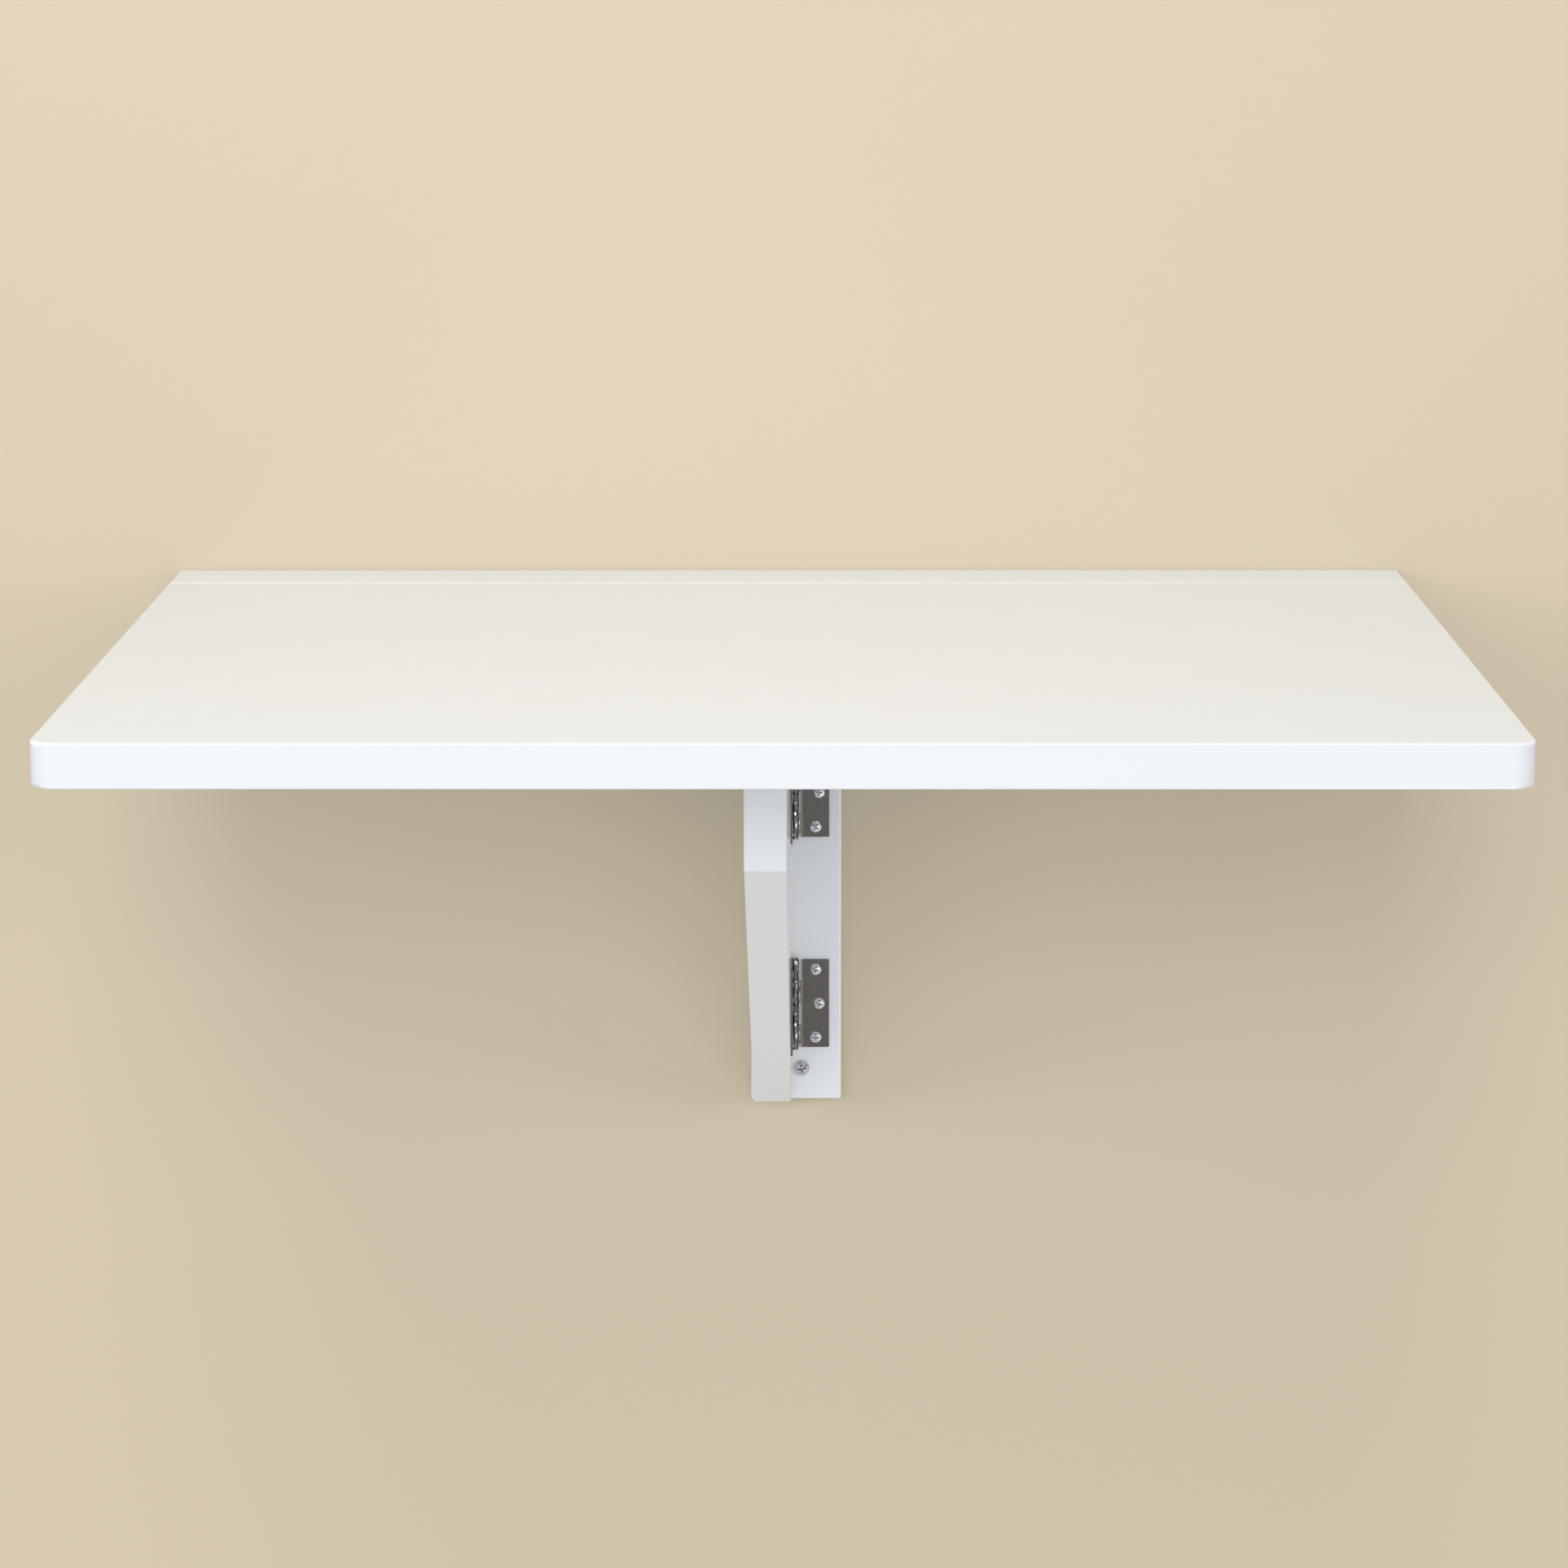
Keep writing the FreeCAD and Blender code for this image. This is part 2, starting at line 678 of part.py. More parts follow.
def wall_screw():
    """A pan head screw. Z = 0 is the board's face under its head."""
    body = new_body("wall_screw")
    head = size.pan_diameter / 2
    shank = size.wall_shank_diameter / 2
    thread = size.wall_thread_diameter / 2
    thread_top_z = -(size.frame_board + size.wall_thread_start)
    thread_end_z = thread_top_z - size.wall_thread_length
    dome = size.pan_height - size.pan_rim
    dome_radius = (head * head / dome + dome) / 2
    corners = [
        (ZERO, thread_end_z - size.wall_screw_tip),
        (thread, thread_end_z),
        (thread, thread_top_z),
        (shank, thread_top_z),
        (shank, ZERO),
        (head, ZERO),
        (head, size.pan_rim),
        (ZERO, size.pan_height),
    ]
    profile = new_sketch(body, "profile", "XZ_Plane")
    add_outline(profile, corners, {6: ((ZERO, size.pan_height - dome_radius), False)})
    turn(body, profile)
    return body


def dowel():
    """A dowel that stands on Z = 0."""
    body = new_body("dowel")
    section = new_sketch(body, "section", "XY_Plane")
    add_circles(section, [(ZERO, ZERO)], size.dowel_diameter)
    pad(body, section, size.dowel_length)
    return body


def hinge_screws(label, master, plates):
    """The screws of some hinge plates."""
    seats = [
        (place, seat.along, seat.facing) for seat in plates.values() for place in seat.screws
    ]
    return copies(label, master, seats)


def wall_screws(label, master, spots):
    """Wall screws with their heads on the frame's front face, at (x, z) spots."""
    return copies(label, master, [((x, frame_front_y, z), RIGHT, OUT) for x, z in spots])


def dowels(label, master, across, foot_z):
    """Upright dowels in the frame's middle plane."""
    return copies(label, master, [((x, frame_middle_y, foot_z), RIGHT, UP) for x in across])


# ---- the table -------------------------------------------------------------------------------


def build():
    """Makes every sub-part and returns them."""
    nodes = [rear_strip(), table_leaf(), wall_batten(), wall_post(), bracket_board()]
    for plates in (post_plates, bracket_plates, strip_plates, leaf_plates):
        nodes += [hinge_plate(label, seat) for label, seat in plates.items()]
    nodes.append(hinge_pin("upper_hinge_pin", upper_axis, UP, RIGHT))
    nodes.append(hinge_pin("lower_hinge_pin", lower_axis, UP, RIGHT))
    nodes.append(hinge_pin("left_leaf_pin", left_axis, RIGHT, OUT))
    nodes.append(hinge_pin("right_leaf_pin", right_axis, RIGHT, OUT))
    small_screw = hinge_screw()
    nodes.append(hinge_screws("post_hinge_screws", small_screw, post_plates))
    nodes.append(hinge_screws("bracket_hinge_screws", small_screw, bracket_plates))
    nodes.append(hinge_screws("strip_hinge_screws", small_screw, strip_plates))
    nodes.append(hinge_screws("leaf_hinge_screws", small_screw, leaf_plates))
    long_screw = wall_screw()
    batten_spots = [(x, batten_middle_z) for x in batten_screw_x]
    nodes.append(wall_screws("batten_screws", long_screw, batten_spots))
    nodes.append(wall_screws("foot_screw", long_screw, [(foot_screw_x, foot_screw_z)]))
    beech_dowel = dowel()
    strip_dowel_foot_z = under_z + size.dowel_in_strip - size.dowel_length
    nodes.append(dowels("strip_dowels", beech_dowel, strip_dowel_x, strip_dowel_foot_z))
    post_dowel_foot_z = post_top_z - size.dowel_in_post
    nodes.append(dowels("post_dowels", beech_dowel, post_dowel_x, post_dowel_foot_z))
    doc.recompute()
    return nodes


def check(nodes):
    """Stops at anything that failed, and at a cut or a hole that took nothing away."""
    for thing in doc.Objects:
        if {"Invalid", "Error"} & set(thing.State):
            raise RuntimeError(f"{thing.Label} failed: {thing.State}")
        if thing.TypeId in ("PartDesign::Pocket", "PartDesign::Hole"):
            taken = thing.BaseFeature.Shape.Volume - thing.Shape.Volume
            if taken < NEAR:
                raise RuntimeError(f"{thing.Label} cut nothing")
    for node in nodes:
        if node.Shape.isNull() or not node.Shape.isValid():
            raise RuntimeError(f"{node.Label} has no valid shape")


table = build()
check(table)
os.makedirs("parts", exist_ok=True)
for piece in table:
    piece.Shape.exportStep(f"parts/{piece.Label}.step")
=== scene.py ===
import json
import math

import bpy
import numpy as np
from mathutils import Matrix, Vector
from mathutils.geometry import delaunay_2d_cdt


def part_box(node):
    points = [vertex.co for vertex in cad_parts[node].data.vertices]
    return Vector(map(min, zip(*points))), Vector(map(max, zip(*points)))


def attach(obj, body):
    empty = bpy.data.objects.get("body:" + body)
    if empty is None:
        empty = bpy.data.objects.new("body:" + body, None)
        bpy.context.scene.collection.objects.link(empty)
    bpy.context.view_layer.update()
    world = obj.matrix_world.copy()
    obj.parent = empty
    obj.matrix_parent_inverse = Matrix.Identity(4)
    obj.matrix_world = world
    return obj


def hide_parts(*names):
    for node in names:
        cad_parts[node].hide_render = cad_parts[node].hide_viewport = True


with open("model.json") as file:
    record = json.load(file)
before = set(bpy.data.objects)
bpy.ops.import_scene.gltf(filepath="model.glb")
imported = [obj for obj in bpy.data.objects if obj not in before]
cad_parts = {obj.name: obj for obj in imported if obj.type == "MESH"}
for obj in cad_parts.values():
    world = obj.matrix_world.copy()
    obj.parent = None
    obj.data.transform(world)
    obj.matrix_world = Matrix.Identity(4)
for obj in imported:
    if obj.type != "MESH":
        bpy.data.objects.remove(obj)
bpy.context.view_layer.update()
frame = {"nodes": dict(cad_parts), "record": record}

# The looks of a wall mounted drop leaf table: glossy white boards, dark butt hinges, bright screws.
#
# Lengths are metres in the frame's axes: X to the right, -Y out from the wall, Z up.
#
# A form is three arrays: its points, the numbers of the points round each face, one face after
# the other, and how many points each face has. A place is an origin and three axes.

MM = 0.001
RIGHT = np.array([1.0, 0, 0])
OUT = np.array([0, -1.0, 0])
WALLWARD = -OUT
UP = np.array([0, 0, 1.0])
DOWN = -UP

# ---- sizes -----------------------------------------------------------------------------------

# boards
TOP_ROUND = 0.9 * MM  # upper edges of the tabletop
UNDER_ROUND = 1.0 * MM  # its lower edges
SEAM_ROUND = 0.45 * MM  # its two upper edges at the seam
BACK_ROUND = 0.4 * MM  # edges that lie against the wall or against another board
FRAME_ROUND = 1.5 * MM  # front edges of the batten and the post
BRACKET_ROUND = 1.6 * MM  # the bracket's long edges
LEAF_CORNER = 12 * MM  # the leaf's two front corners
LEAF_SOFTENING = 1.9 * MM  # how much further the edges round off in the middle of those corners
END_CORNER = 0.8 * MM  # the other corners of the tabletop, the batten and the post
BRACKET_CORNER = 1.4 * MM
BRACKET_TOE = 14 * MM  # flat part under the bracket's foot
BRACKET_NOSE = 111.5 * MM  # tabletop's upper face to the bottom of the bracket's front end
NOTCH_CORNER = 3 * MM
NOTCH_FLOOR_SPARE = 0.6 * MM  # the notch's floor, below the opening that the record gives
NOTCH_END_SPARE = 0.75 * MM  # each of its ends, past that opening
SHARP_CORNER = 0.05 * MM
LEAST_CORNER = 0.02 * MM

# butt hinges
SHEET = 1.2 * MM
HINGE_LENGTH = 60 * MM
PLATE_REACH = 22.5 * MM  # pin's axis to the plate's free edge
BARREL_LIFT = 0.3 * MM  # the barrel, above the face that the plates lie on
PIN_RADIUS = 1.25 * MM
PIN_PLAY = 0.05 * MM
PIN_HEAD_RADIUS = 2.2 * MM
PIN_HEAD_HEIGHT = 1.2 * MM
PIN_HEAD_SIDE = 0.45 * PIN_HEAD_HEIGHT  # its upright part
PIN_HEAD_EYE = 0.03 * MM  # radius of the last ring on its face
KNUCKLES = 4
KNUCKLE_GAP = 0.3 * MM
SLOT_GAP = 1.9 * MM  # the barrel to the plate's flat part
ROLL_SWEEP = math.radians(295)
SHEET_EDGE = 0.16 * MM  # rounding of the sheet's edges
PLATE_CORNER = 0.6 * MM
SCREW_SPOTS = ((13.6 * MM, -23.2 * MM), (15.8 * MM, 0.0), (13.6 * MM, 23.2 * MM))

BARREL_RADIUS = PIN_RADIUS + PIN_PLAY + SHEET
AXIS_RISE = BARREL_RADIUS + BARREL_LIFT
SLOT_X = BARREL_RADIUS + SLOT_GAP

# hinge screws
HOLE_PLAY = 0.05 * MM
HINGE_HEAD = 3.8 * MM
HINGE_DOME = 0.75 * MM
HINGE_CROSS = (2.3 * MM, 0.62 * MM, 1.7 * MM)  # its recess: half length, half width and depth
HINGE_SHANK = 1.75 * MM
HINGE_CORE = 0.68 * HINGE_SHANK  # bottom of the thread
HINGE_SCREW_LENGTH = 15 * MM
HINGE_TIP = 3 * MM
HINGE_PITCH = 1.35 * MM
HINGE_NECK = 1.3 * MM  # plain shank in the board
HINGE_THREAD_START = 1.5 * MM  # the board's face to the thread

# wall screws
PAN_HEAD = 5 * MM
PAN_RIM = 1.4 * MM
PAN_HEIGHT = 3.2 * MM
PAN_UNDER_ROUND = 0.35 * MM
PAN_CROSS = (2.9 * MM, 0.75 * MM, 2.5 * MM)
WALL_SHANK = 1.8 * MM
WALL_THREAD = 2.5 * MM
WALL_THREAD_START = 1 * MM  # the wall's face to the thread
WALL_THREAD_LENGTH = 34 * MM
WALL_TIP = 5 * MM
WALL_PITCH = 2.3 * MM

# the recess in a screw's head, as shares of its length, width and depth
CROSS_FLOOR = (0.62, 0.5)  # the floor's length and width
CROSS_LIP = (0.97, 0.06)  # the worn lip: share of the mouth and of the depth
CROSS_POINT = ((1, 1), (0.4, 1.25), (0.05, 1.3))  # the floor's rings: share of the floor and depth

# how finely each form is divided
BOARD_EDGE_STEPS = 6
BOARD_CORNER_STEPS = 8
LEAF_CORNER_STEPS = 14
SHEET_EDGE_STEPS = 3
PLATE_CORNER_STEPS = 5
ROLL_STEPS = 43
PIN_FACE_STEPS = 6
ROUND_STEPS = 40
PAN_STEPS = 48
PAN_UNDER_STEPS = 4
DOME_STEPS = 8
THREAD_RINGS = 8  # in each turn of a thread
THREAD_POINT = 0.02  # the last ring at a screw's tip, as a share of the thread's radius

SMOOTH_BELOW = math.radians(38)
SAME_POINT = 1e-6  # millimetres
NO_AREA = 1e-14  # square metres
ALMOST_NOTHING = 1e-9

# ---- surfaces --------------------------------------------------------------------------------


def skin(rings, capped=True):
    """The form over a stack of closed rings, with one flat face on each end where it is capped.

    The faces point outwards where a ring's direction crossed with the stack's points outwards.
    """
    levels, around = rings.shape[:2]
    row = np.arange(around)
    following = np.roll(row, -1)
    quad = np.stack([row, following, following + around, row + around], axis=-1)
    quads = quad + np.arange(levels - 1)[:, None, None] * around
    corners = quads.ravel()
    sizes = np.full((levels - 1) * around, 4)
    if capped:
        corners = np.concatenate([corners, row[::-1], row + (levels - 1) * around])
        sizes = np.append(sizes, [around, around])
    return rings.reshape(-1, 3), corners, sizes


def joined(*forms):
    """Several forms as one."""
    points, corners, sizes = zip(*forms)
    starts = np.cumsum([0] + [len(own) for own in points[:-1]])
    corners = [own + start for own, start in zip(corners, starts)]
    return np.concatenate(points), np.concatenate(corners), np.concatenate(sizes)


def seat(origin, first, second):
    """A place: its origin and its axes, the third of which is first x second."""
    return np.array(origin, float), np.array([first, second, np.cross(first, second)], float)


def placed(form, where):
    """A form carried from its own axes to a place."""
    points, corners, sizes = form
    origin, axes = where
    return points @ axes + origin, corners, sizes


def at_level(flat, level):
    """Flat points at a level, which is one for all of them or one for each."""
    return np.column_stack([flat, np.broadcast_to(level, len(flat))])


def rectangle(low, high):
    """The corners of a rectangle, anticlockwise from the lowest left one."""
    (left, bottom), (right, top) = low, high
    return [(left, bottom), (right, bottom), (right, top), (left, top)]


def circle(centre, radius):
    angle = np.arange(ROUND_STEPS) * 2 * math.pi / ROUND_STEPS
    return np.asarray(centre) + radius * np.stack([np.cos(angle), np.sin(angle)], axis=1)


def turned(radius, height, steps):
    """Rings round an axis: at the angle a a ring's point is (r cos a, r sin a, height).

    radius and height have a row for each ring, with one value or with one for each angle.
    """
    angle = np.arange(steps) * 2 * math.pi / steps
    radius, height, angle = np.broadcast_arrays(radius, height, angle)
    return np.stack([radius * np.cos(angle), radius * np.sin(angle), height], axis=-1)


def lathe(profile, steps):
    """Rings of a turned form from (radius, height) pairs, from its foot to its crown."""
    profile = np.asarray(profile, float)
    return turned(profile[:, :1], profile[:, 1:], steps)


def outline(corners, radii, insets, steps, softened=0):
    """A closed outline through corners, with each edge moved in and each corner an arc.

    With n1 and n2 the outward normals of the edges before and after a corner, the moved corner q
    is where n1 . q and n2 . q are both less by the insets. The arc's middle is
    q - r (n1 + n2) / (1 + n1 . n2) and its points are that middle plus r times the unit vector
    that turns from n1 to n2. A softened corner comes in further, by its amount times the squared
    sine of pi times the share of the turn. Returns the points and their share, from 0 to 1.
    """
    corners = np.asarray(corners, float)
    along = np.roll(corners, -1, 0) - corners
    along /= np.linalg.norm(along, axis=1, keepdims=True)
    after = np.stack([along[:, 1], -along[:, 0]], axis=1)
    before = np.roll(after, 1, 0)
    inset_after = np.asarray(insets, float)
    inset_before = np.roll(inset_after, 1)
    sine = before[:, 0] * after[:, 1] - before[:, 1] * after[:, 0]
    cosine = (before * after).sum(1)
    moved = corners + np.stack([
        (inset_after * before[:, 1] - inset_before * after[:, 1]) / sine,
        (inset_before * after[:, 0] - inset_after * before[:, 0]) / sine,
    ], axis=1)
    bend = np.sign(sine)
    radius = np.maximum(radii - bend * (inset_before + inset_after) / 2, LEAST_CORNER) * bend
    middle = moved - radius[:, None] * (before + after) / (1 + cosine)[:, None]
    share = np.linspace(0, 1, steps + 1)
    start = np.arctan2(before[:, 1], before[:, 0])
    turn = np.arctan2(sine, cosine)
    angle = start[:, None] + turn[:, None] * share
    facing = np.stack([np.cos(angle), np.sin(angle)], axis=-1)
    cut = np.broadcast_to(softened, len(corners))[:, None] * np.sin(math.pi * share) ** 2
    points = middle[:, None] + (radius[:, None] - cut)[:, :, None] * facing
    return points.reshape(-1, 2), np.tile(share, len(corners))


def rounding(steps):
    """An edge's rounding from the face to the side, as (inset, distance from the face) / radius.

    At the angle a above the side the inset is 1 - cos a and the distance 1 - sin a.
    """
    angle = np.linspace(math.pi / 2, 0, steps + 1)
    return np.stack([1 - np.cos(angle), 1 - np.sin(angle)], axis=1)


def board(corners, radii, thickness, lower, upper, where, steps=BOARD_CORNER_STEPS, softened=0):
    """A board: an outline carried through its thickness, with the edges of both faces rounded.

    lower and upper give the rounding of each edge on the two faces. At an arc between two edges
    the rounding passes from one to the other in proportion to the turn, and a softened corner
    has more of it, by its amount times the squared sine of pi times the share of the turn.
    """
    softened = np.broadcast_to(np.asarray(softened, float), len(corners))

    def ring(rounds, inset, fall, face, sense):
        rounds = np.broadcast_to(np.asarray(rounds, float), len(corners))
        points, share = outline(corners, radii, rounds * inset, steps, softened * inset)
        before = np.repeat(np.roll(rounds, 1), steps + 1)
        after = np.repeat(rounds, steps + 1)
        more = np.repeat(softened, steps + 1) * np.sin(math.pi * share) ** 2
        return at_level(points, face + sense * (before + (after - before) * share + more) * fall)

    profile = rounding(BOARD_EDGE_STEPS)
    rings = [ring(lower, inset, fall, 0.0, 1) for inset, fall in profile]
    rings += [ring(upper, inset, fall, thickness, -1) for inset, fall in profile[::-1]]
    return placed(skin(np.array(rings)), where)


def pierced_face(edge, centres, radius, level, facing_up):
    """A flat face inside an edge with round holes, as triangles between the points of both."""
    loops = [edge] + [circle(centre, radius) for centre in centres]
    starts = np.cumsum([0] + [len(loop) for loop in loops])
    sides = [start + np.stack([np.arange(len(loop)), np.roll(np.arange(len(loop)), -1)], axis=1)
             for start, loop in zip(starts, loops)]
    given = (np.concatenate(loops) / MM).tolist()
    found, _, triangles, *_ = delaunay_2d_cdt(given, np.concatenate(sides).tolist(), [], 0, SAME_POINT)
    flat = np.array(found) * MM
    triangles = np.array(triangles)
    middles = flat[triangles].mean(1)
    gaps = np.linalg.norm(middles[:, None] - np.asarray(centres)[None], axis=2)
    triangles = triangles[(gaps > radius).all(1)]
    a, b, c = (flat[triangles[:, k]] for k in range(3))
    area = (b[:, 0] - a[:, 0]) * (c[:, 1] - a[:, 1]) - (b[:, 1] - a[:, 1]) * (c[:, 0] - a[:, 0])
    wrong = (area > 0) != facing_up
    triangles[wrong] = triangles[wrong][:, ::-1]
    triangles = triangles[np.abs(area) > NO_AREA]
    return at_level(flat, level), triangles.ravel(), np.full(len(triangles), 3)


def plate_sheet():
    """The flat part of a hinge plate, with its countersunk holes.

    Its wall follows an outline, with the upper edge rounded. Each hole's wall is a cone from the
    countersink's rim on top to the rim less the sheet's thickness below.
    """
    half = HINGE_LENGTH / 2
    corners = rectangle((SLOT_X, -half), (PLATE_REACH, half))
    radii = np.array([SHARP_CORNER, PLATE_CORNER, PLATE_CORNER, SHARP_CORNER])
    rounds = np.array([SHEET_EDGE, SHEET_EDGE, SHEET_EDGE, 0])
    profile = rounding(SHEET_EDGE_STEPS)[::-1]
    edges = [outline(corners, radii, rounds * inset, PLATE_CORNER_STEPS)[0] for inset, _ in profile]
    rings = [at_level(edges[0], 0)]
    rings += [at_level(edge, SHEET - SHEET_EDGE * fall) for edge, (_, fall) in zip(edges, profile)]
    wall = skin(np.array(rings), capped=False)
    rim = HINGE_HEAD + HOLE_PLAY
    top = pierced_face(edges[-1], SCREW_SPOTS, rim, SHEET, True)
    under = pierced_face(edges[0], SCREW_SPOTS, rim - SHEET, 0, False)
    holes = []
    for spot in SCREW_SPOTS:
        mouth = at_level(circle(spot, rim), SHEET)
        throat = at_level(circle(spot, rim - SHEET), 0)
        holes.append(skin(np.array([mouth, throat]), capped=False))
    return joined(wall, top, under, *holes)


def knuckle(low, high):
    """One knuckle, rolled from the sheet, between two places along the pin.

    The middle line of the sheet runs from the plate to a circle round the pin and follows it. The
    two faces lie half the sheet's thickness to each side of the line, less the rounding at the
    knuckle's ends.
    """
    angle = -math.pi / 2 - np.linspace(0, ROLL_SWEEP, ROLL_STEPS + 1)
    facing = np.stack([np.cos(angle), np.sin(angle)], axis=1)
    line = facing * (BARREL_RADIUS - SHEET / 2) + (0, AXIS_RISE)
    line = np.concatenate([[(SLOT_X, SHEET / 2)], line])
    facing = np.concatenate([[(0, -1)], facing])

    def ring(inset, place):
        reach = SHEET / 2 - inset
        across, rise = np.concatenate([line + facing * reach, (line - facing * reach)[::-1]]).T
        return np.stack([across, np.full(len(across), place), rise], axis=1)

    profile = rounding(SHEET_EDGE_STEPS) * SHEET_EDGE
    rings = [ring(inset, high - fall) for inset, fall in profile]
    rings += [ring(inset, low + fall) for inset, fall in profile[::-1]]
    return skin(np.array(rings))


def hinge_plate(where):
    """Half of a butt hinge: the pierced sheet and every second knuckle."""
    span = HINGE_LENGTH / KNUCKLES
    start = -HINGE_LENGTH / 2
    parts = [plate_sheet()]
    for number in range(0, KNUCKLES, 2):
        low = start + number * span + (KNUCKLE_GAP / 2 if number else 0)
        high = start + (number + 1) * span - KNUCKLE_GAP / 2
        parts.append(knuckle(low, high))
    return placed(joined(*parts), where)


def hinge_pin(length, where):
    """A pin with a peened head on each end.

    A head's side is upright at first, and its face is then a quarter of an ellipse to its middle.
    """
    shoulder = length / 2 - PIN_HEAD_HEIGHT
    side = shoulder + PIN_HEAD_SIDE
    bend = np.linspace(0, math.pi / 2, PIN_FACE_STEPS + 1)[1:]
    radius = np.maximum(PIN_HEAD_RADIUS * np.cos(bend), PIN_HEAD_EYE)
    height = side + (PIN_HEAD_HEIGHT - PIN_HEAD_SIDE) * np.sin(bend)
    neck = [(PIN_RADIUS, shoulder), (PIN_HEAD_RADIUS, shoulder), (PIN_HEAD_RADIUS, side)]
    upper = np.concatenate([neck, np.column_stack([radius, height])])
    lower = upper[::-1] * (1, -1)
    return placed(skin(lathe(np.concatenate([lower, upper]), ROUND_STEPS)), where)


def cross_radius(angle, reach, width):
    """How far a cross with four arms goes from its middle at each angle.

    It is the larger of two boxes' reaches, each the lesser of its half sides over |cos| and |sin|.
    """
    cosine = np.maximum(np.abs(np.cos(angle)), ALMOST_NOTHING)
    sine = np.maximum(np.abs(np.sin(angle)), ALMOST_NOTHING)
    level_arms = np.minimum(reach / cosine, width / sine)
    upright_arms = np.minimum(width / cosine, reach / sine)
    return np.maximum(level_arms, upright_arms)


def head_top(radius, rim_height, dome, cross, turn, steps):
    """The rings of a domed head with a cross recess, from its rim inwards and down.

    At the distance r from its middle the dome is dome (1 - (r / radius)^2) above the rim. Its
    rings pass from the rim's circle to the outline of the cross, whose walls lean in to a smaller
    cross on the floor, and the floor falls to a point.
    """
    reach, width, depth = cross
    angle = np.arange(steps) * 2 * math.pi / steps - turn
    mouth = cross_radius(angle, reach, width)
    floor = cross_radius(angle, reach * CROSS_FLOOR[0], width * CROSS_FLOOR[1])
    share = np.linspace(0, 1, DOME_STEPS + 1)[:, None]
    crown = rim_height + dome
    distances = radius * (1 - share) + mouth * share
    heights = crown - dome * (distances / radius) ** 2
    lip_share, lip_fall = CROSS_LIP
    distances = [*distances, mouth * lip_share]
    heights = [*heights, heights[-1] - lip_fall * depth]
    for floor_share, fall in CROSS_POINT:
        distances.append(floor * floor_share)
        heights.append(np.full(steps, crown - fall * depth))
    return turned(np.array(distances), np.array(heights), steps)


def thread(core, crest, pitch, low, high, tip, steps):
    """The rings of a screw's thread from low to high, with a point of the length tip below it.

    At the height z and the angle a the phase is z / pitch - a / (2 pi). The radius is the core's
    plus the crest's height times the fourth power of |cos (pi phase)|. Both shrink to the point
    in proportion to the height, and the crest fades out over the last turn.
    """
    count = int((high - low + tip) / pitch * THREAD_RINGS)
    height = np.linspace(low - tip, high, count)[:, None]
    angle = np.arange(steps) * 2 * math.pi / steps
    phase = height / pitch - angle / (2 * math.pi)
    ridge = np.abs(np.cos(math.pi * phase)) ** 4
    taper = np.clip((height - low + tip) / tip, THREAD_POINT, 1)
    fade = np.clip((high - height) / pitch, 0, 1)
    return turned((core + (crest - core) * ridge * fade) * taper, height, steps)


def hinge_screw(where, turn):
    """A countersunk screw, with Z = 0 on the face under the hinge plate."""
    shaft = thread(HINGE_CORE, HINGE_SHANK, HINGE_PITCH, HINGE_TIP - HINGE_SCREW_LENGTH,
                   -HINGE_THREAD_START, HINGE_TIP, ROUND_STEPS)
    neck = [(HINGE_SHANK, -HINGE_NECK), (HINGE_SHANK, 0), (HINGE_HEAD - SHEET, 0)]
    neck = lathe(neck, ROUND_STEPS)
    top = head_top(HINGE_HEAD, SHEET, HINGE_DOME, HINGE_CROSS, turn, ROUND_STEPS)
    return placed(skin(np.concatenate([shaft, neck, top])), where)


def wall_screw(where, turn, board_thickness):
    """A pan head screw, with Z = 0 on the board's face under its head."""
    high = -board_thickness - WALL_THREAD_START
    low = high - WALL_THREAD_LENGTH
    shaft = thread(WALL_SHANK, WALL_THREAD, WALL_PITCH, low, high, WALL_TIP, PAN_STEPS)
    bend = np.linspace(0, math.pi / 2, PAN_UNDER_STEPS + 1)
    rim = PAN_UNDER_ROUND * np.column_stack([np.sin(bend) - 1, 1 - np.cos(bend)]) + (PAN_HEAD, 0)
    neck = lathe(np.concatenate([[(WALL_SHANK, 0)], rim]), PAN_STEPS)
    top = head_top(PAN_HEAD, PAN_RIM, PAN_HEIGHT - PAN_RIM, PAN_CROSS, turn, PAN_STEPS)
    return placed(skin(np.concatenate([shaft, neck, top])), where)


# ---- shaders ---------------------------------------------------------------------------------


class Wire:
    """An output of a node. An expression on wires and numbers adds its Math nodes."""

    def __init__(self, net, socket):
        self.net = net
        self.socket = socket

    def __add__(self, other):
        return self.net.maths("ADD", self, other)

    def __radd__(self, other):
        return self.net.maths("ADD", other, self)

    def __sub__(self, other):
        return self.net.maths("SUBTRACT", self, other)

    def __rsub__(self, other):
        return self.net.maths("SUBTRACT", other, self)

    def __mul__(self, other):
        return self.net.maths("MULTIPLY", self, other)

    def __rmul__(self, other):
        return self.net.maths("MULTIPLY", other, self)

    def __truediv__(self, other):
        return self.net.maths("DIVIDE", self, other)

    def __rtruediv__(self, other):
        return self.net.maths("DIVIDE", other, self)

    def __abs__(self):
        return self.net.maths("ABSOLUTE", self)

    def above(self, edge, width):
        """0 below the edge and 1 past it, over a width."""
        return self.net.maths("DIVIDE", self - edge, width, clamp=True)


